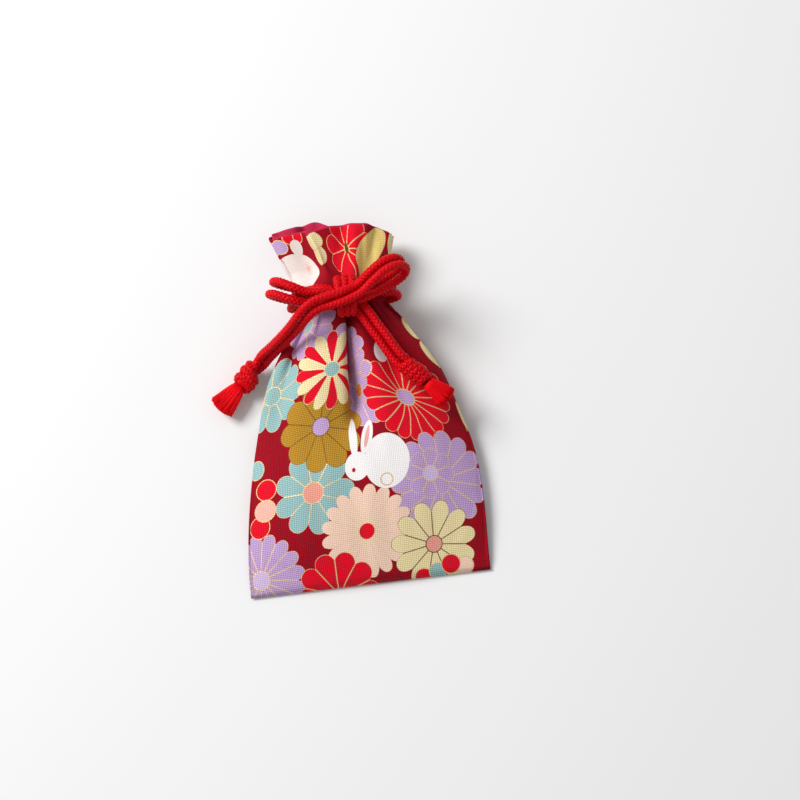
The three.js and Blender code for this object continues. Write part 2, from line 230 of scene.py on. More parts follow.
def braid(line, diameter=CORD, closed=False):
    """The yarns of a round braid along a line, and a thinner core under them."""
    radius = diameter / 2
    side, top = frames_along(line)
    along = distances(line)
    pitch = BRAID_PITCH * diameter / CORD
    if closed:
        total = along[-1] + np.linalg.norm(line[0] - line[-1])
        pitch = total / max(round(total / pitch * 4), 1) * 4
    points, faces, marks = [], [], []
    ones = np.ones((len(line), 1))
    core = YARN_PLACE * radius * ones
    parts = [(line, core, core, side, top)]
    for yarn in range(8):
        way = 1 if yarn % 2 == 0 else -1
        angle = (way * 2 * np.pi * along / pitch + np.pi / 2 * (yarn // 2))[:, None]
        lift = radius * (YARN_PLACE + YARN_SWING * way * np.cos(8 * np.pi * along / pitch))[:, None]
        out = np.cos(angle) * side + np.sin(angle) * top
        centre = line + lift * out
        flat = unit(np.cross(unit(np.gradient(centre, axis=0)), out))
        parts.append((centre, YARN_WIDE * radius * ones, YARN_THICK * radius * ones, flat, out))
    for centre, wide, thick, across, out in parts:
        first = sum(len(p) for p in points)
        p, f, m = tube(centre, wide, thick, across, out, YARN_SIDES, first, closed)
        points.append(p)
        faces += f
        marks += m
    return np.vstack(points), faces, marks


def new_piece(name, parts, marks_name="yarn"):
    """One mesh object of several parts of points, faces and face-corner marks, in millimetres."""
    points, faces, marks = [], [], []
    for p, f, m in parts:
        first = sum(len(q) for q in points)
        points.append(np.asarray(p, float))
        faces += [tuple(first + i for i in face) for face in f]
        marks += m
    mesh = bpy.data.meshes.new(name)
    mesh.from_pydata((np.vstack(points) * MM).tolist(), [], faces)
    layer = mesh.uv_layers.new(name=marks_name)
    layer.uv.foreach_set("vector", np.asarray(marks, np.float32).ravel())
    mesh.polygons.foreach_set("use_smooth", [True] * len(mesh.polygons))
    mesh.update()
    piece = bpy.data.objects.new(name, mesh)
    bpy.context.scene.collection.objects.link(piece)
    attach(piece, "root")
    return piece


# %% [markdown]
# ## Knots and tassels
# The bow's knot is three wraps of cord round the crossing strands. At the end of each tail the two
# strands are knotted together, which shows as a few slanted wraps, and below the knot the braid is
# opened into a small brush. The brush could be a hair system, but a few hundred thin fibres as meshes
# keep their shape in every export.

# %% Knot and tassel helpers
def lump(middle, axes, half, sides=20, rows=12):
    """A rounded core, with half sizes along three axes."""
    points, faces, marks = [], [], []
    for i in range(rows + 1):
        a = math.pi * (0.02 + 0.96 * i / rows)
        for k in range(sides):
            b = 2 * math.pi * k / sides
            local = np.array((-math.cos(a), math.sin(a) * math.cos(b), math.sin(a) * math.sin(b))) * half
            points.append(np.asarray(middle) + local @ np.asarray(axes))
    for i in range(rows):
        for k in range(sides):
            m = (k + 1) % sides
            faces.append((i * sides + k, i * sides + m, (i + 1) * sides + m, (i + 1) * sides + k))
            marks += [(0.1 * k, i), (0.1 * k + 0.1, i), (0.1 * k + 0.1, i + 1), (0.1 * k, i + 1)]
    return np.array(points), faces, marks


def wrap_ring(middle, axes, place, wide, tall, slant, lean=0.0):
    """A closed wrap of the cord round the first axis, leaning along it by a slant."""
    angle = np.arange(72) * 2 * np.pi / 72
    local = np.stack([place + slant * np.cos(angle + lean), wide * np.cos(angle), tall * np.sin(angle)], 1)
    return np.asarray(middle) + local @ np.asarray(axes)


def knot_axes(direction):
    """Along the tail, across it, and up from the surface."""
    along = unit(np.asarray(direction, float))
    across = unit(np.cross((0.0, 0.0, 1.0), along))
    return np.stack([along, across, np.cross(along, across)])


def fibres(start, axes, length, waist, brush, flat, count, seed):
    """A brush of thin fibres that spread from the waist, flatter than wide."""
    random = np.random.default_rng(seed)
    along, across, top = axes
    parts = [lump(start + along * length * 0.42, axes, (length * 0.42, brush * 0.72, flat * 0.85))]
    steps = np.linspace(0, 1, 6)[:, None]
    for _ in range(count):
        radius, angle = math.sqrt(random.random()), random.random() * 2 * math.pi
        a, b = radius * math.cos(angle), radius * math.sin(angle)
        reach = length * (1 - 0.10 * a * a) * random.uniform(0.90, 1.0)
        spread = waist + (brush - waist) * steps ** 0.8
        wave = random.uniform(-0.25, 0.25) * np.sin(steps * random.uniform(3, 6) + random.random() * 6)
        line = (start + along * steps * reach + across * (a * spread + wave * steps)
                + top * (b * (waist + (flat - waist) * steps) + wave * steps * 0.6))
        thin = random.uniform(0.13, 0.2) * (1 - 0.35 * steps)
        run = unit(np.gradient(line, axis=0))
        side = unit(np.cross(run, top))
        parts.append(tube(line, thin, thin, side, np.cross(side, run), 4, 0))
    return parts


# %% [markdown]
# ## The bow and the tails
# One strand of the right loop runs on over the knot into the left tail, and one of the left loop runs
# on through the knot into the right tail, as in a shoelace bow. Each is made as a braided cord piece, and
# the length of its route is printed. The knots are pieces that sit on the cords.

# %% Bow, tails, end knots and tassels
WRAP_MIDDLE, WRAP_AXES = BOW_MIDDLE + (0.8, -1.4, -0.5), np.eye(3)
WRAP_WIDE, WRAP_TALL, WRAP_CORE = 4.6, 2.1, (3.6, 4.2, 2.3)
# place along the bow and slant of each wrap
BOW_WRAPS = [(-1.6, -0.1), (0.1, 0.1), (1.8, 0.3)]
bow_parts = [lump(WRAP_MIDDLE, WRAP_AXES, WRAP_CORE)]
for place, slant in BOW_WRAPS:
    ring = wrap_ring(WRAP_MIDDLE, WRAP_AXES, place, WRAP_WIDE, WRAP_TALL, slant)
    bow_parts.append(braid(ring, closed=True))
bow_piece = new_piece("bow_wraps", bow_parts)
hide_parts("bow_knot")

# length and half width of each tassel, and how far it starts along the knot
BRUSHES = {"left": (8.6, 3.7, -0.9), "right": (7.6, 3.1, 0.1)}
BRUSH_WAIST, BRUSH_FLAT, FIBRES, BRUSH_SEED = 1.6, 1.8, 420, 11
# wraps, their spacing, half width, half thickness, slant, lean from wrap to wrap
END_WRAPS = {"left": (3, 1.75, 2.25, 2.0, 1.3, 0.7), "right": (5, 1.5, 1.75, 1.7, 0.7, 0.25)}
end_pieces = {}
for side, middle in (("left", LEFT_TAIL), ("right", RIGHT_TAIL)):
    wraps, spacing, wide, tall, slant, lean = END_WRAPS[side]
    last = np.array(middle[-1]) + BOW_MIDDLE
    axes = knot_axes(np.array(middle[-1]) - np.array(middle[-2]))
    centre = last + axes[0] * (0.3 + END_KNOT / 2)
    parts = [lump(centre, axes, (3.4, wide, tall))]
    for i in range(wraps):
        place = (i - (wraps - 1) / 2) * spacing
        fuller = 1 - 0.05 * abs(place)
        ring = wrap_ring(centre, axes, place, wide * fuller, tall * fuller, slant, lean * i)
        parts.append(braid(ring, CORD * 0.95, closed=True))
    knot = new_piece("end_wraps_" + side, parts)
    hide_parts("end_knot_" + side)
    length, spread, begin = BRUSHES[side]
    start = centre + axes[0] * (END_KNOT / 2 + begin)
    parts = fibres(start, axes, length, BRUSH_WAIST, spread, BRUSH_FLAT, FIBRES, BRUSH_SEED + len(side))
    brush = new_piece("brush_" + side, parts)
    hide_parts("tassel_" + side)
    end_pieces[side] = (knot, brush)
    print("end knot", side, "at", centre.round(1))

cord_pieces = [bow_piece, *end_pieces["left"], *end_pieces["right"]]
for name, line in ROUTES.items():
    piece = new_piece("cord_" + name, [braid(line)])
    tail, mark = name.split("_")[0], name.split("_")[2]
    loop = "right" if tail == "left" else "left"
    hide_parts(f"tail_{tail}_{mark}", f"bow_loop_{loop}_{mark}")
    cord_pieces.append(piece)

# %% [markdown]
# ## The cords in the casing
# Each drawcord leaves the bow, goes in at one side slit of the casing, runs round the neck inside it and
# comes out again. Most of it is hidden, but the leads between the slits and the bow show from the sides.

# %% Drawcords
FRONT_LEAD = [(5.4, 1.9, 8.3), (9, 2.1, 6.9), (12.2, 2.2, 4.6), (13.2, 1.2, 2.2)]
BACK_LEAD = [(5.4, -0.6, 8.2), (9.2, -0.5, 6.7), (13, -0.5, 4.5), (14.3, -1, 0.8)]
LEAD_START, LEAD_END = (2.6, 0.9, 8.9), (2.6, -1.4, 8.6)
RING_WIDE, RING_TALL, RING_SHIFT, RING_POINTS, SLIT_ANGLE = 8.5, 4.2, 1.425, 14, 0.45
for side, way in (("left", -1), ("right", 1)):
    angle = np.linspace(SLIT_ANGLE, 2 * np.pi - SLIT_ANGLE, RING_POINTS)
    shift = np.full(RING_POINTS, -way * RING_SHIFT)
    ring = np.stack([RING_WIDE * np.cos(angle), shift, RING_TALL * np.sin(angle)], 1)
    route = np.vstack([LEAD_START, FRONT_LEAD, ring, BACK_LEAD[::-1], LEAD_END]) * (way, 1, 1) + NECK_MIDDLE
    line = smooth_path(route, CORD_STEP)
    piece = new_piece("neck_cord_" + side, [braid(line)])
    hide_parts("drawcord_" + side)
    cord_pieces.append(piece)
    print("drawcord", side, "is", round(length_of(line), 1), "mm long")

# %% [markdown]
# ## The form of the cloth
# A flat bag that is drawn together at the neck keeps its length of cloth, so the cloth has to go into
# pleats. One formula gives every point of it, from how far round the bag it is and how high it is: a lens
# that becomes an oval at the neck, plus a wave of pleats that is nothing at the fold and full at the
# shoulder. A cloth simulation would need the whole tying to be acted out, and would not stop at the
# folds of this pouch, so the folds are listed one by one.

# %% Cloth form
BAG_WIDTH, BAG_LENGTH, BELLY, FOLD = 64, 95, 12.5, 2.0
NECK_WIDTH, NECK_THICK = 24, 15.4
MOUTH_WIDTH, MOUTH_THICK, LEAN = 37, 17, 2
CLOTH, LAYER_GAP, LINING_RIM = 0.6, 0.4, 0.7
NECK_PLEAT, SHOULDER_PLEAT, MOUTH_PLEAT, PLEAT_START = 1.4, 2.2, 2.4, 36
CASING_BOTTOM, CASING_TOP, CASING_GAP = 73.15, 78.85, 3.0
FOLD_PLACE = -48.1


def mix(a, b, share):
    return a + (b - a) * share


def ramp(start, end, value):
    share = np.clip((value - start) / (end - start), 0, 1)
    return share * share * (3 - 2 * share)


def hump(value, middle, width):
    return np.exp(-(((value - middle) / width) ** 2))


def frill_share(height):
    return np.clip((height - CASING_TOP) / (BAG_LENGTH - CASING_TOP), 0, 1)


def gathering(height):
    return ramp(PLEAT_START, CASING_BOTTOM, height)


def half_width(height):
    neck, mouth = NECK_WIDTH / 2 - NECK_PLEAT, MOUTH_WIDTH / 2 - MOUTH_PLEAT
    body = mix(BAG_WIDTH / 2, neck, (np.minimum(height, CASING_BOTTOM) / CASING_BOTTOM) ** 2.8)
    return np.where(height > CASING_BOTTOM, mix(neck, mouth, frill_share(height)), body)


def top_height(height):
    neck, mouth = NECK_THICK - NECK_PLEAT, MOUTH_THICK - MOUTH_PLEAT
    bulge = 1 - (1 - np.minimum(height / (0.55 * CASING_BOTTOM), 1)) ** 2
    body = mix(mix(FOLD, BELLY, bulge), neck, gathering(height))
    return np.where(height > CASING_TOP, mix(neck, mouth, frill_share(height)), body)


def seam_height(height):
    middle = mix(NECK_THICK, MOUTH_THICK, frill_share(height)) / 2
    return mix(0.3 * top_height(height), middle, gathering(height))


def pleat_depth(height):
    shoulder = (PLEAT_START + CASING_BOTTOM) / 2
    rise = ramp(PLEAT_START, shoulder, height) * (1 - ramp(shoulder, CASING_BOTTOM, height))
    neck = NECK_PLEAT * gathering(height) + (SHOULDER_PLEAT - NECK_PLEAT / 2) * rise
    return mix(neck, MOUTH_PLEAT, frill_share(height))


# where the valleys between the pleats lie, round the bag: on the body and in the mouth
EVEN_VALLEYS = np.linspace(0, 1, 9)
BODY_VALLEYS = [0, 0.168, 0.25, 0.40, 0.5, 0.62, 0.74, 0.87, 1]
MOUTH_VALLEYS = [0, 0.10, 0.205, 0.35, 0.5, 0.64, 0.76, 0.89, 1]


def pleat_wave(around, height):
    """Nothing in a valley between pleats and 1 on a ridge."""
    body = np.interp(around, BODY_VALLEYS, EVEN_VALLEYS)
    mouth = np.interp(around, MOUTH_VALLEYS, EVEN_VALLEYS)
    turn = 2 * np.pi * mix(body, mouth, frill_share(height))
    return (1 - np.cos(8 * turn)) / 2


# the mouth's edge, round the bag: how high the cloth reaches there
RIM = [(0, 92.2), (0.03, 91.8), (0.06, 91.7), (0.10, 93.8), (0.15, 94.0), (0.20, 94.6), (0.25, 93.9),
       (0.28, 92.8), (0.305, 92.3), (0.33, 95.0), (0.36, 95.2), (0.40, 94.6), (0.44, 94.2), (0.47, 94.3),
       (0.50, 94.8), (0.55, 95.5), (0.60, 96.4), (0.65, 97.3), (0.70, 98.4), (0.72, 99.2), (0.745, 97.2),
       (0.78, 95.0), (0.82, 94.0), (0.88, 92.8), (1, 92.2)]


def rim_height(around):
    """Height of the mouth's edge, smoothed between the listed places."""
    places, heights = np.array(RIM).T
    near = [np.interp((around + step) % 1, places, heights) for step in (-0.012, -0.006, 0, 0.006, 0.012)]
    return np.mean(near, axis=0)


def cloth_points(around, height, inset, pleat_share):
    """Points of a cloth layer, round the bag from the right seam over the front, under the outer face."""
    angle = 2 * np.pi * around
    across, gathered = np.cos(angle), gathering(height)
    crown = np.maximum(1 - np.abs(across) ** mix(2.6, 2, gathered), 0) ** mix(1, 0.5, gathered)
    side_inset = inset * mix(2, 1, gathered) * np.abs(across) ** mix(2, 0, gathered)
    side = (half_width(height) - side_inset) * across
    seam, top = seam_height(height), top_height(height)
    closed = np.sqrt(np.clip(1 - (1 - np.clip(height / 1.6, 0, 1)) ** 2, 0, 1))
    rise = (top - seam - inset) * closed
    drop = (mix(2.5 * seam, seam - pleat_depth(height), gathered) - inset) * closed
    out_x, out_z = across / half_width(height), np.sin(angle) / top
    size = np.hypot(out_x, out_z)
    uneven = 1 + 0.25 * np.cos(6 * np.pi * around + 0.6)
    fold = pleat_share * pleat_depth(height) * uneven * pleat_wave(around, height) ** 0.75
    lean = LEAN * ramp(0, PLEAT_START, height) * (1 - frill_share(height))
    z = np.where(np.sin(angle) >= 0, seam + rise * crown, seam - drop * crown)
    x = lean + side + fold * out_x / size
    z = z + fold * out_z / size
    x, z = hand_folds(around, height, x, z)
    return np.stack([x, height, np.maximum(z, inset)], -1)


# place round the bag, half width, depth, overhang, and the heights where it starts and is full
GROOVES = [
    (0.247, 0.028, 5.8, 3.2, 36, 51),
    (0.168, 0.022, 2.8, -1.4, 50, 62),
    (0.400, 0.020, 1.8, 0.7, 52, 64),
    (0.075, 0.018, 1.2, -0.6, 56, 68),
    (0.325, 0.014, 1.0, 0.5, 60, 70),
]


def hand_folds(around, height, x, z):
    """The folds that make this pouch: deep grooves below the neck, a lapped mouth and small creases."""
    frill = frill_share(height)
    for place, width, depth, lap, start, full in GROOVES:
        here = ramp(start, full, height) * (1 - ramp(72, 77, height))
        q = (around - place) / width
        z = z - depth * here * hump(q, 0, 0.9)
        x = x + lap * here * (hump(q, 1.5, 1.0) - 0.6 * hump(q, -0.2, 0.8))
    # the right part of the mouth laps over the left part, and the back stands up behind the left part
    lap = ramp(0.0, 0.4, frill)
    q = (around - 0.305) / 0.04
    step = 1 / (1 + np.exp(-3.2 * q)) * (1 - ramp(0.44, 0.52, around))
    z = z - 3.4 * lap * step
    x = x + lap * (1.9 * hump(q, 1.1, 0.9) - 2.0 * hump(q, -0.9, 0.8))
    x = x + 1.3 * ramp(0, 0.3, frill) * (1 - ramp(0.45, 0.95, frill)) * hump(q, 0, 1.2)
    x = x + 1.6 * ramp(0.4, 1, frill) * hump(around, 0.5, 0.07)
    z = z + 2.8 * ramp(0.2, 0.9, frill) * ramp(0.5, 0.58, around) * (1 - ramp(0.70, 0.80, around))
    # small drawn creases that run down from the casing
    crease = ramp(52, 72, height) * (1 - ramp(72, 76, height)) + 0.8 * ramp(0.05, 0.5, frill)
    flat = np.sin(2 * np.pi * around) ** 2 * np.sign(np.sin(2 * np.pi * around))
    z = z + 0.4 * crease * flat * np.sin(2 * np.pi * (21 * around + 0.3 * np.sin(9 * around)))
    return x, z


# %% [markdown]
# ## Cloth layers as meshes
# A grid of rings from the bottom fold to the mouth takes the formula's points, closer together on the
# front. Small bends from a noise are added so that the flat lower half isn't dead flat. Every face corner
# keeps its place on the flat cloth in millimetres, and the print and the weave are drawn there, so they
# go into the pleats as they do on real cloth. A Solidify modifier gives the cloth its thickness.

# %% Cloth meshes
FRONT_STEPS, BACK_STEPS = 220, 110
# how far the lining stands back from the grooves, and the heights where that starts and is full
LINING_ROOM, ROOM_START, ROOM_FULL = 3.6, 32, 44
# the height over which the wall grows from the bottom fold, and its least share there
WALL_RISE, LEAST_WALL = 3, 0.05
JOIN_DISTANCE = 0.00002


def soft_bends(points):
    """Low, wide bends of slack cloth, in millimetres along Z."""
    bend = np.zeros(len(points))
    for i, (x, y, z) in enumerate(points):
        side = 3.0 if z < 4 else 0.0
        wide = noise.noise(Vector((x * 0.07, y * 0.05, side)))
        drawn = noise.noise(Vector((x * 0.22 + 9, y * 0.06, side + 7)))
        bend[i] = 0.55 * wide + 0.30 * drawn
    return bend


def cloth_layer(name, start, rim_rise, inset, is_lining, rows, thickness):
    """One layer of the bag from its lowest ring to the rim."""
    around = np.concatenate([np.linspace(0, 0.5, FRONT_STEPS, endpoint=False),
                             np.linspace(0.5, 1, BACK_STEPS, endpoint=False)])
    count = len(around)
    body = start + (CASING_BOTTOM - start) * np.linspace(0, 1, rows[0], endpoint=False) ** 0.9
    casing = np.linspace(CASING_BOTTOM, CASING_TOP, rows[1], endpoint=False)
    fixed = np.concatenate([body, casing])
    frill = np.linspace(0, 1, rows[2])
    height = np.vstack([np.repeat(fixed[:, None], count, 1),
                        mix(CASING_TOP, (rim_height(around) + rim_rise)[None], frill[:, None])])
    ring = np.repeat(around[None], len(height), 0)
    in_casing, deep = np.zeros_like(height), inset + np.zeros_like(height)
    if is_lining:
        above = ramp(CASING_BOTTOM - 4, CASING_BOTTOM, height)
        in_casing = above * (1 - ramp(CASING_TOP, CASING_TOP + 4, height))
        deep = inset + (CASING_GAP - LAYER_GAP) * in_casing
        deep = deep + LINING_ROOM * ramp(ROOM_START, ROOM_FULL, height) * (1 - above)
    points = cloth_points(ring, height, deep, 1 - in_casing)
    flat = points.reshape(-1, 3)
    plain = cloth_points(ring, height, np.zeros_like(height), np.ones_like(height)).reshape(-1, 3)
    loose = np.clip(flat[:, 2] / 4, 0, 1) * np.clip(flat[:, 1] / 12, 0, 1)
    loose = loose * (1 - np.clip((flat[:, 1] - 62) / 12, 0, 1))
    flat[:, 2] += soft_bends(plain) * loose
    marks_u = flat_places(points, ring, height)
    at = lambda r, i: r * count + i % count
    faces, marks = [], []
    for r in range(len(height) - 1):
        for i in range(count):
            faces.append((at(r, i), at(r + 1, i), at(r + 1, i + 1), at(r, i + 1)))
            for row, col in ((r, i), (r + 1, i), (r + 1, i + 1), (r, i + 1)):
                marks.append((marks_u[row, col], height[row, col % count]))
    piece = new_piece(name, [(flat + (0, FOLD_PLACE, 0), faces, marks)], "cloth")
    close_fold(piece.data)
    wall = piece.modifiers.new("thickness", "SOLIDIFY")
    wall.thickness, wall.offset = thickness * MM, -1
    thin_at_fold(piece, wall, start)
    print(name, "has", len(piece.data.polygons), "faces")
    return piece


def flat_places(points, ring, height):
    """How far across the flat cloth each point is, in millimetres from the middle of the front."""
    count = points.shape[1]
    wrapped = np.concatenate([points, points[:, :1]], 1)
    size = np.linalg.norm(np.diff(wrapped, axis=1), axis=2)
    valley = (1 - pleat_wave(ring, height)) ** 3 * gathering(height) + 1e-6
    places = np.zeros((len(points), count + 1))
    for first, last, begin in ((0, FRONT_STEPS, BAG_WIDTH / 2), (FRONT_STEPS, count, -BAG_WIDTH / 2)):
        part = size[:, first:last]
        spare = np.maximum(BAG_WIDTH - part.sum(1, keepdims=True), 0)
        part = part + spare * valley[:, first:last] / valley[:, first:last].sum(1, keepdims=True)
        part = part * BAG_WIDTH / part.sum(1, keepdims=True)
        places[:, first] = begin
        places[:, first + 1:last + 1] = begin - np.cumsum(part, 1)
    return places


def close_fold(mesh):
    """Joins the front and the back along the bottom fold."""
    work = bmesh.new()
    work.from_mesh(mesh)
    bmesh.ops.remove_doubles(work, verts=work.verts, dist=JOIN_DISTANCE)
    work.to_mesh(mesh)
    work.free()


def thin_at_fold(piece, wall, start):
    """Lets the cloth's inner face meet its outer face in the bottom fold, where there is no room for it."""
    group = piece.vertex_groups.new(name="wall")
    for vertex in piece.data.vertices:
        rise = vertex.co.y / MM - FOLD_PLACE - start
        group.add([vertex.index], min(max(rise / WALL_RISE, LEAST_WALL), 1), "REPLACE")
    wall.vertex_group = group.name


outer = cloth_layer("printed_bag", 0.0, 0.0, 0.0, False, (96, 10, 40), 0.5)
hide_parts("outer_bag")
lining = cloth_layer("lining_cloth", 3.0, LINING_RIM, CLOTH + LAYER_GAP, True, (60, 10, 34),
                     0.35)
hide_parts("lining_bag")

# %% [markdown]
# ## Weave
# Both cloths are plain weave: each thread goes over one and under the next. The group draws it from the
# place on the flat cloth, as a height for a bump and as painted shade for the colour, darker between the
# threads and lighter on their tops, so the print and the lining share it with their own thread size.

# %% Weave group
def put(tree, socket, value):
    """Links a socket to another, or sets its plain value."""
    if isinstance(value, bpy.types.NodeSocket):
        tree.links.new(value, socket)
    else:
        socket.default_value = value


def math_node(tree, operation, a, b=None, c=None, clamp=False):
    node = tree.nodes.new("ShaderNodeMath")
    node.operation, node.use_clamp = operation, clamp
    for socket, value in zip(node.inputs, (a, b, c)):
        if value is not None:
            put(tree, socket, value)
    return node.outputs[0]


def blend_node(tree, share, a, b, kind="MIX"):
    node = tree.nodes.new("ShaderNodeMix")
    node.data_type, node.blend_type = "RGBA", kind
    for socket, value in ((node.inputs[0], share), (node.inputs[6], a), (node.inputs[7], b)):
        put(tree, socket, value)
    return node.outputs[2]


def vector_node(tree, operation, *values):
    node = tree.nodes.new("ShaderNodeVectorMath")
    node.operation = operation
    for socket, value in zip(node.inputs, values):
        put(tree, socket, value)
    return node.outputs


def split_node(tree, vector):
    node = tree.nodes.new("ShaderNodeSeparateXYZ")
    tree.links.new(vector, node.inputs[0])
    return node.outputs


def new_group(name, inputs, outputs):
    """An empty shader group with named sockets, and its inside ends."""
    tree = bpy.data.node_groups.new(name, "ShaderNodeTree")
    for label, kind, value in inputs:
        socket = tree.interface.new_socket(label, in_out="INPUT", socket_type="NodeSocket" + kind)
        socket.default_value = value
    for label, kind in outputs:
        tree.interface.new_socket(label, in_out="OUTPUT", socket_type="NodeSocket" + kind)
    return tree, tree.nodes.new("NodeGroupInput").outputs, tree.nodes.new("NodeGroupOutput").inputs


weave, enter, leave = new_group(
    "plain_weave",
    [("Cloth", "Vector", (0, 0, 0)), ("Thread", "Float", 0.5)],
    [("Height", "Float"), ("Shade", "Float")])
calc = partial(math_node, weave)
parts = split_node(weave, enter["Cloth"])
across, along = (calc("DIVIDE", parts[k], enter["Thread"]) for k in (0, 1))
warp, weft = (calc("SINE", calc("MULTIPLY", calc("FRACT", k), math.pi)) for k in (across, along))
cells = calc("ADD", calc("FLOOR", across), calc("FLOOR", along))
over = calc("FLOORED_MODULO", cells, 2.0)
under = calc("SUBTRACT", 1.0, over)
height = calc("ADD", calc("MULTIPLY", warp, over), calc("MULTIPLY", weft, under))
both = calc("MULTIPLY", warp, weft)
height = calc("ADD", calc("MULTIPLY", height, 0.6), calc("MULTIPLY", both, 0.4))
weave.links.new(height, leave["Height"])
# painted shade and highlight of the weave: darker where the threads dip, lighter on their tops
shade = calc("MULTIPLY_ADD", height, 0.50, 0.70)
shade = calc("MULTIPLY_ADD", over, 0.06, shade)
weave.links.new(shade, leave["Shade"])
print("weave group has", len(weave.nodes), "nodes")

# %% [markdown]
# ## Chrysanthemum
# The print is made of round flowers in flat colours with thin gold outlines. One group draws one flower
# from its middle, its size and its number of petals: the angle gives the petal, and the distance from the
# middle gives its rounded tip. Each flower is laid over the colour that comes in, so a chain of them makes
# the whole print and later flowers cover earlier ones, as the printer's layers do.

# %% Flower group
# half width of the gold lines, and how sharp edges and lines are, per millimetre
LINE, SHARP, LINE_SHARP = 0.2, 9.0, 7.0


def lay_over(tree, enter, leave, inside, tone, gold):
    """Sends out a shape's colour and gold, laid over those that come in."""
    tree.links.new(blend_node(tree, inside, enter["Ground"], tone), leave["Color"])
    bare = math_node(tree, "SUBTRACT", 1.0, inside)
    rest = math_node(tree, "MULTIPLY", enter["Ground Gold"], bare)
    tree.links.new(math_node(tree, "ADD", gold, rest), leave["Gold"])


flower, enter, leave = new_group(
    "chrysanthemum",
    [("Cloth", "Vector", (0, 0, 0)), ("Middle", "Vector", (0, 0, 0)), ("Radius", "Float", 10.0),
     ("Petals", "Float", 12.0), ("Turn", "Float", 0.0), ("Heart Size", "Float", 0.2), ("Notch", "Float", 0.8),
     ("Petal", "Color", (1, 1, 1, 1)), ("Other Petal", "Color", (1, 1, 1, 1)), ("Heart", "Color", (1, 1, 1, 1)),
     ("Outline", "Color", (1, 1, 1, 1)), ("Ground", "Color", (0, 0, 0, 1)), ("Ground Gold", "Float", 0.0)],
    [("Color", "Color"), ("Gold", "Float")])
calc = partial(math_node, flower)
gap = vector_node(flower, "SUBTRACT", enter["Cloth"], enter["Middle"])[0]
far = vector_node(flower, "LENGTH", gap)["Value"]
parts = split_node(flower, gap)
angle = calc("ADD", calc("ARCTAN2", parts[1], parts[0]), enter["Turn"])
per_petal = calc("MULTIPLY", enter["Petals"], 1 / (2 * math.pi))
petal = calc("MULTIPLY", angle, per_petal)
off = calc("ABSOLUTE", calc("SUBTRACT", calc("FRACT", petal), 0.5))
other = calc("GREATER_THAN", calc("FLOORED_MODULO", petal, 2.0), 1.0)
tip = calc("MULTIPLY_ADD", calc("POWER", off, 2.4), calc("MULTIPLY", enter["Notch"], -1.0), 1.0)
edge = calc("SUBTRACT", calc("MULTIPLY", tip, enter["Radius"]), far)
inside = calc("MULTIPLY_ADD", edge, SHARP, 0.5, clamp=True)
aside = calc("DIVIDE", calc("MULTIPLY", calc("SUBTRACT", 0.5, off), far), per_petal)
core = calc("SUBTRACT", far, calc("MULTIPLY", enter["Radius"], enter["Heart Size"]))
in_core = calc("MULTIPLY_ADD", core, -SHARP, 0.5, clamp=True)
aside = calc("ADD", aside, calc("MULTIPLY", in_core, 5.0))
near = calc("MINIMUM", calc("MINIMUM", edge, aside), calc("ABSOLUTE", core))
line = calc("MULTIPLY_ADD", near, -LINE_SHARP, LINE_SHARP * LINE, clamp=True)
share = calc("DIVIDE", far, enter["Radius"], clamp=True)
tone = blend_node(flower, other, enter["Petal"], enter["Other Petal"])
deep = blend_node(flower, 1.0, tone, (0.95, 0.93, 0.95, 1), "MULTIPLY")
tone = blend_node(flower, share, deep, tone)
tone = blend_node(flower, in_core, tone, enter["Heart"])
tone = blend_node(flower, line, tone, enter["Outline"])
gold = calc("MULTIPLY", line, inside)
lay_over(flower, enter, leave, inside, tone, gold)
print("flower group has", len(flower.nodes), "nodes")

# %% [markdown]
# ## Rounded patches
# The rabbits' bodies, ears, eyes and tails and the loose petals are ovals. One group draws an oval with an
# outline over the colour that comes in, with its own size, turn and colours.

# %% Oval group
oval, enter, leave = new_group(
    "oval_patch",
    [("Cloth", "Vector", (0, 0, 0)), ("Middle", "Vector", (0, 0, 0)), ("Half Width", "Float", 3.0),
     ("Half Height", "Float", 3.0), ("Turn", "Float", 0.0), ("Fill", "Color", (1, 1, 1, 1)),
     ("Outline", "Color", (1, 1, 1, 1)), ("Line Width", "Float", 0.2), ("Ground", "Color", (0, 0, 0, 1)),
     ("Ground Gold", "Float", 0.0)],
    [("Color", "Color"), ("Gold", "Float")])
place = oval.nodes.new("ShaderNodeVectorRotate")
place.rotation_type = "Z_AXIS"
oval.links.new(enter["Cloth"], place.inputs["Vector"])
oval.links.new(enter["Middle"], place.inputs["Center"])
oval.links.new(enter["Turn"], place.inputs["Angle"])
calc = partial(math_node, oval)
parts = split_node(oval, vector_node(oval, "SUBTRACT", place.outputs[0], enter["Middle"])[0])
wide = calc("DIVIDE", parts[0], enter["Half Width"])
tall = calc("DIVIDE", parts[1], enter["Half Height"])
round_ = calc("SQRT", calc("ADD", calc("MULTIPLY", wide, wide), calc("MULTIPLY", tall, tall)))
small = calc("MINIMUM", enter["Half Width"], enter["Half Height"])
edge = calc("MULTIPLY", calc("SUBTRACT", 1.0, round_), small)
inside = calc("MULTIPLY_ADD", edge, SHARP, 0.5, clamp=True)
line = calc("MULTIPLY", calc("SUBTRACT", enter["Line Width"], edge), SHARP, clamp=True)
tone = blend_node(oval, line, enter["Fill"], enter["Outline"])
has_line = calc("MULTIPLY", enter["Line Width"], 5.0, clamp=True)
gold = calc("MULTIPLY", calc("MULTIPLY", line, inside), has_line)
lay_over(oval, enter, leave, inside, tone, gold)
print("oval group has", len(oval.nodes), "nodes")

# %% [markdown]
# ## The print
# The list gives every flower, loose petal and rabbit with its place on the flat cloth: millimetres across
# from the middle of the front, and up from the bottom fold. The back shows the same list mirrored, so the
# print meets at both seams. Colours are written as they look and turned into the linear values that
# shaders use.

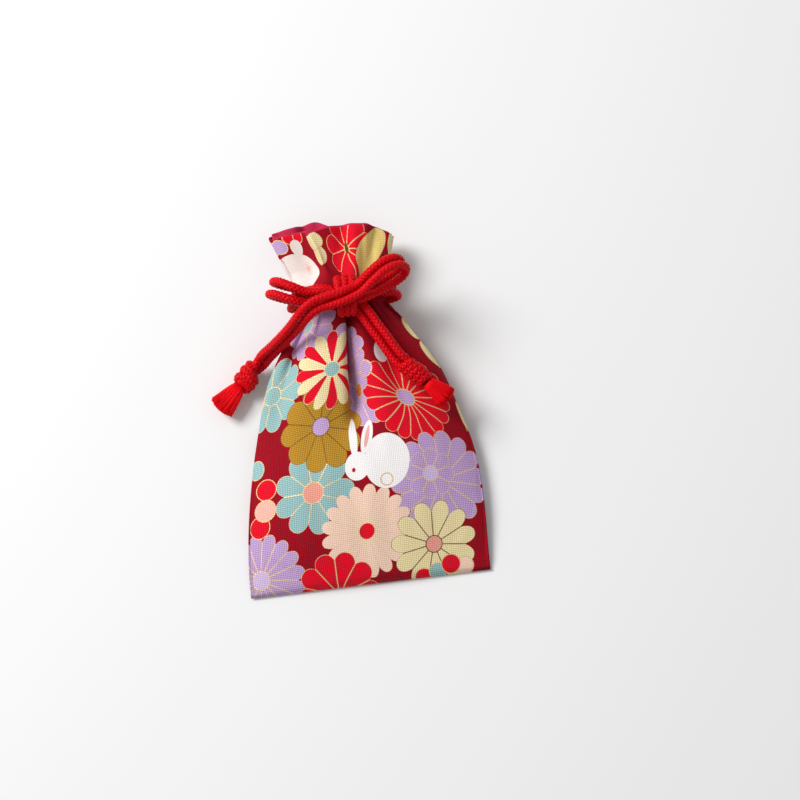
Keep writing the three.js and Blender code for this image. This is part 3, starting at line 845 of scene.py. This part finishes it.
# %% Print on the cotton
def colour(text):
    """A hex colour as linear values."""
    parts = [int(text[i:i + 2], 16) / 255 for i in (0, 2, 4)]
    return tuple(c / 12.92 if c <= 0.04045 else ((c + 0.055) / 1.055) ** 2.4 for c in parts) + (1.0,)


CRIMSON, RED, LILAC, PALE_LILAC = "9A061C", "DC0A26", "B49ACE", "CABAE6"
GOLD, YELLOW, CREAM, TEAL = "B4862A", "FFE88A", "F6EAB4", "88BABC"
PEACH, PINK, WHITE, EAR = "FFDCC8", "F4A496", "F4F1F0", "F0B4B2"
PALE_GOLD, BROWN, OLIVE, ORANGE = "EDD092", "7E5E20", "5A4A20", "C8763C"
# the second white is the print's white darkened as painted shade, for the rabbit in the mouth
THREAD_TAN, SHADED_WHITE = "B4784E", "E6DEDA"

# middle across, middle up, radius, petals, turn, heart size, notch, petal, heart, outline, and every other
# petal if it differs
FLOWERS = [
    (-28.8, 4.3, 12.0, 16, 0.1, 0.20, 0.9, LILAC, PALE_LILAC, PALE_GOLD),
    (-27.5, 52.0, 9.6, 9, 0.3, 0.25, 1.1, TEAL, TEAL, PALE_GOLD),
    (-19.5, 68.5, 8.6, 10, 0.0, 0.22, 0.8, LILAC, TEAL, PALE_GOLD),
    (3.0, 49.0, 8.5, 9, 0.1, 0.20, 0.9, LILAC, LILAC, PALE_GOLD),
    (16.4, 46.9, 11.8, 18, 0.1, 0.19, 0.6, RED, LILAC, PALE_GOLD),
    (20.2, 24.4, 13.2, 14, 0.2, 0.18, 0.9, LILAC, LILAC, PALE_GOLD),
    (17.6, 26.4, 6.6, 8, 0.5, 0.30, 1.1, LILAC, PALE_LILAC, PALE_GOLD),
    (2.4, 62.0, 6.6, 9, 0.2, 0.20, 0.9, LILAC, LILAC, PALE_GOLD),
    (-4.5, 56.0, 12.7, 14, 0.1, 0.20, 0.8, LILAC, TEAL, PALE_GOLD),
    (-13.5, 24.9, 10.9, 9, 0.35, 0.25, 1.4, TEAL, PINK, PALE_GOLD),
    (-10.7, 41.7, 11.9, 10, 0.2, 0.20, 1.0, GOLD, LILAC, BROWN),
    (-10.0, 56.1, 10.3, 16, 0.1, 0.19, 1.2, RED, TEAL, CREAM, CREAM),
    (0.2, 13.4, 11.9, 17, 0.2, 0.18, 1.0, PEACH, RED, CREAM),
    (-8.6, -1.8, 11.0, 10, 0.3, 0.16, 1.0, RED, RED, PALE_GOLD),
    (17.5, 8.2, 11.3, 11, 0.1, 0.19, 1.5, CREAM, PINK, OLIVE),
    (6.9, 88.2, 9.5, 9, 0.2, 0.10, 0.9, RED, RED, PALE_GOLD),
]
# middle across, middle up, half width, half height, turn, fill, and outline and line width if not thin gold
THIN_GOLD = (PALE_GOLD, 0.25)
OVALS = [
    # loose petals at the left and right ends of the front
    (-30.6, 33.2, 2.6, 2.6, 0, TEAL),
    (-27.0, 27.6, 3.2, 2.8, 0.2, RED),
    (-28.5, 18.0, 3.0, 3.0, 0, RED),
    (-27.0, 22.2, 3.2, 2.9, 0, "F8C0B2"),
    (14.2, 0.2, 2.4, 2.2, 0, RED),
    (18.0, 1.2, 2.4, 2.2, 0, TEAL),
    (25.3, 1.9, 2.4, 2.4, 0, PEACH),
    (21.6, 2.7, 2.6, 2.5, 0, RED),
    # small disc and petal beside the pleat
    (7.8, 55.6, 2.2, 2.2, 0, LILAC, PALE_GOLD, 0.35),
    (3.6, 50.6, 1.2, 2.0, 0.3, ORANGE, PALE_GOLD, 0.2),
    (14.1, 60.0, 2.6, 3.4, 0.5, WHITE, WHITE, 0.0),
    # rabbit: ears, body, head, eye and tail
    (-2.0, 37.8, 1.15, 5.2, 0.02, WHITE, WHITE, 0.0),
    (1.9, 37.6, 1.45, 4.7, 0.36, WHITE, WHITE, 0.0),
    (2.0, 37.8, 0.55, 3.2, 0.36, EAR, EAR, 0.0),
    (6.4, 30.9, 6.0, 7.2, 0.15, WHITE, WHITE, 0.0),
    (-1.5, 30.2, 3.3, 3.7, 0.2, WHITE, WHITE, 0.0),
    (-2.5, 29.3, 0.5, 0.6, 0, "A81434", "E08A94", 0.12),
    (6.0, 26.0, 1.7, 1.7, 0, WHITE, PALE_GOLD, 0.35),
    # mouth: a second rabbit in a shaded white, a lilac disc, cream petals at the lap, painted shades and a
    # yellow petal
    (-21.8, 94.0, 2.4, 1.7, 0, RED),
    (-18.0, 94.3, 2.4, 1.7, 0, RED),
    (-26.2, 92.3, 2.6, 2.0, 0, LILAC),
    # the rabbit's body and head in white darkened as painted shade
    (-22.0, 83.9, 11.2, 6.0, 0.05, SHADED_WHITE, SHADED_WHITE, 0.0),
    (-20.2, 91.4, 2.7, 2.3, 0, SHADED_WHITE, SHADED_WHITE, 0.0),
    # a pinkish grey patch: painted shade from the lap on the rabbit's right side
    (-17.0, 85.4, 2.4, 2.0, 0.3, "D8B0AA", "E2D2CE", 1.2),
    (-6.8, 87.4, 3.2, 2.9, 0, CREAM),
    (-6.8, 91.2, 3.5, 2.7, 0, CREAM),
    # a dark olive mark at the red flower's middle: painted shade of a crease
    (6.9, 88.4, 0.7, 1.7, 0, OLIVE, OLIVE, 0.0),
    (16.5, 86.5, 5.2, 9.9, 0.94, YELLOW),
    (27.5, 89.5, 1.8, 4.0, 0.1, CREAM, PALE_GOLD, 0.2),
    # petals in the strip along the right seam
    (29.0, 66.0, 2.2, 3.6, 0.2, CREAM),
    (29.5, 58.5, 2.2, 3.6, -0.1, CREAM),
    (31.6, 41.0, 1.3, 4.2, -0.15, CREAM),
    (-31.4, 51.5, 1.6, 3.4, 0, CREAM),
]

def new_finish(name, marks_name):
    """A new material, its tree, the inputs of its surface, and the place that the mesh carries."""
    finish = bpy.data.materials.new(name)
    finish.use_nodes = True
    tree = finish.node_tree
    where = tree.nodes.new("ShaderNodeUVMap")
    where.uv_map = marks_name
    return finish, tree, tree.nodes["Principled BSDF"].inputs, where.outputs[0]


def thread_node(tree, place, thread):
    node = tree.nodes.new("ShaderNodeGroup")
    node.node_tree = weave
    put(tree, node.inputs["Cloth"], place)
    put(tree, node.inputs["Thread"], thread)
    return node.outputs


def raise_by(tree, surface, height, strength, distance):
    """Bumps a surface by a height."""
    bump = tree.nodes.new("ShaderNodeBump")
    for label, value in (("Strength", strength), ("Distance", distance), ("Height", height)):
        put(tree, bump.inputs[label], value)
    put(tree, surface["Normal"], bump.outputs[0])


cotton, tree, surface, where = new_finish("printed_cotton", "cloth")
calc = partial(math_node, tree)
parts = split_node(tree, where)
mirrored = calc("ABSOLUTE", calc("ADD", parts[0], BAG_WIDTH / 2))
mirrored = calc("SUBTRACT", mirrored, BAG_WIDTH / 2)
spot = tree.nodes.new("ShaderNodeCombineXYZ")
tree.links.new(mirrored, spot.inputs[0])
tree.links.new(parts[1], spot.inputs[1])
cloth_place = spot.outputs[0]
tone, gilt = colour(CRIMSON), 0.0


def lay(tree, group, values, tone, gilt):
    """Places one flower or oval over the colours so far."""
    node = tree.nodes.new("ShaderNodeGroup")
    node.node_tree = group
    put(tree, node.inputs["Cloth"], cloth_place)
    for label, value in {**values, "Ground": tone, "Ground Gold": gilt}.items():
        put(tree, node.inputs[label], value)
    return node.outputs["Color"], node.outputs["Gold"]


for x, y, radius, petals, turn, heart_size, notch, petal, heart, outline, *other in FLOWERS:
    second = other[0] if other else petal
    values = {"Middle": (x, y, 0), "Radius": radius, "Petals": petals, "Turn": turn, "Heart Size": heart_size,
              "Notch": notch, "Petal": colour(petal), "Other Petal": colour(second), "Heart": colour(heart),
              "Outline": colour(outline)}
    tone, gilt = lay(tree, flower, values, tone, gilt)
for x, y, wide, tall, turn, fill, *edge in OVALS:
    outline, width = edge or THIN_GOLD
    values = {"Middle": (x, y, 0), "Half Width": wide, "Half Height": tall, "Turn": turn, "Fill": colour(fill),
              "Outline": colour(outline), "Line Width": width}
    tone, gilt = lay(tree, oval, values, tone, gilt)
threads = thread_node(tree, where, 0.49)
surface["Specular IOR Level"].default_value = 0.12
channels = tree.nodes.new("ShaderNodeSeparateColor")
put(tree, channels.inputs[0], tone)
red, green, blue = channels.outputs
# the weave is painted into the print's colour as light and shade; pale tones keep their plain colour
least = calc("MINIMUM", calc("MINIMUM", red, green), blue)
most = calc("MAXIMUM", calc("MAXIMUM", red, green), blue)
pale_tone_share = calc("MULTIPLY_ADD", least, 1.7, -0.51, clamp=True)
tan_share = calc("MULTIPLY", calc("MULTIPLY", least, 2.0, clamp=True), 0.6)
# between the threads: painted shade, mixed with the tan of the bare thread
bare = blend_node(tree, 1.0, tone, calc("MULTIPLY_ADD", most, 0.5, 0.15), "MULTIPLY")
bare = blend_node(tree, tan_share, bare, colour(THREAD_TAN))
# on the thread tops: a painted highlight, up to 1.45 times the tone
crown = calc("MINIMUM", 1.45, calc("DIVIDE", 1.0, most))
crown = blend_node(tree, 1.0, tone, crown, "MULTIPLY")
print_with_weave_light = blend_node(tree, threads["Height"], bare, crown)
put(tree, surface["Base Color"], blend_node(tree, pale_tone_share, print_with_weave_light, tone))
put(tree, surface["Metallic"], calc("MULTIPLY", gilt, 0.35))
put(tree, surface["Roughness"], calc("MULTIPLY_ADD", gilt, -0.35, 0.8))
raise_by(tree, surface, threads["Height"], 0.6, 0.00012)
outer.data.materials.append(cotton)
print("print has", len(FLOWERS), "flowers and", len(OVALS), "ovals")

# %% [markdown]
# ## Lining and cord finishes
# The lining is plain cerise cotton with finer threads. The cord is a glossy rayon braid: its yarns have
# fine lines along their twist, and the light runs along them, so it is smoother than the cotton. The colours
# of both carry painted shade in the grooves of weave and twist and painted highlight on their ridges.

# %% Lining and cord
CERISE = "BE1244"
plain, tree, surface, where = new_finish("lining_cotton", "cloth")
threads = thread_node(tree, where, 0.34)
# painted shade of the weave: darker between the threads, lighter on their tops
put(tree, surface["Base Color"], blend_node(tree, 1.0, colour(CERISE), threads["Shade"], "MULTIPLY"))
surface["Roughness"].default_value = 0.85
raise_by(tree, surface, threads["Height"], 0.5, 0.0001)
lining.data.materials.append(plain)


def rayon_finish(name, dark, bright, roughness):
    """Glossy rayon with fine lines along the yarn's twist, painted darker in their grooves and lighter on their
    ridges.
    """
    rayon, tree, surface, where = new_finish(name, "yarn")
    calc = partial(math_node, tree)
    parts = split_node(tree, where)
    round_yarn = calc("MULTIPLY", parts[0], 16 * math.pi)
    twist = calc("MULTIPLY_ADD", parts[1], 7.0, round_yarn)
    strands = calc("MULTIPLY_ADD", calc("SINE", twist), 0.5, 0.5)
    # the twist's grooves are painted dark and its ridges bright, as shade and highlight
    put(tree, surface["Base Color"], blend_node(tree, strands, colour(dark), colour(bright)))
    surface["Roughness"].default_value = roughness
    surface["Specular IOR Level"].default_value = 0.1
    raise_by(tree, surface, strands, 0.5, 0.00005)
    return rayon


braided = rayon_finish("braided_cord", "B00008", "E40418", 0.32)
# the brushes get a lighter copy of the cord's reds: painted light that makes up for the shade among their
# fibres
painted_light_brush = rayon_finish("frayed_cord", "E8020E", "FA0C1C", 0.5)
for piece in cord_pieces:
    piece.data.materials.append(painted_light_brush if piece.name.startswith("brush") else braided)

# %% [markdown]
# ## Floor and light
# A pale floor takes the shadow. One large lamp from the upper left models the folds, and the white sky
# fills the shadows. Together they light a flat surface so that a colour renders about as it is written.

# %% Floor and light
floor_mesh = bpy.data.meshes.new("floor")
floor_mesh.from_pydata([(-3, -3, 0), (3, -3, 0), (3, 3, 0), (-3, 3, 0)], [], [(0, 1, 2, 3)])
floor = bpy.data.objects.new("floor", floor_mesh)
floor.location.z = -0.0002
bpy.context.scene.collection.objects.link(floor)
paper = bpy.data.materials.new("pale_floor")
paper.use_nodes = True
surface = paper.node_tree.nodes["Principled BSDF"].inputs
surface["Base Color"].default_value = (0.80, 0.80, 0.80, 1)
surface["Roughness"].default_value = 0.9
floor_mesh.materials.append(paper)

sky = bpy.data.worlds.new("sky")
sky.use_nodes = True
white = sky.node_tree.nodes["Background"].inputs
white["Color"].default_value = (1, 1, 1, 1)
white["Strength"].default_value = 0.46
bpy.context.scene.world = sky


def lamp(name, place, aim, size, power):
    """A square soft lamp that points at the pouch."""
    light = bpy.data.lights.new(name, "AREA")
    light.size, light.energy = size, power
    piece = bpy.data.objects.new(name, light)
    piece.location = place
    piece.rotation_euler = (Vector(aim) - Vector(place)).to_track_quat("-Z", "Y").to_euler()
    bpy.context.scene.collection.objects.link(piece)


lamp("key", (-0.55, 0.40, 0.70), (0, 0, 0), 0.45, 9.6)
bpy.context.scene.view_settings.view_transform = "Standard"
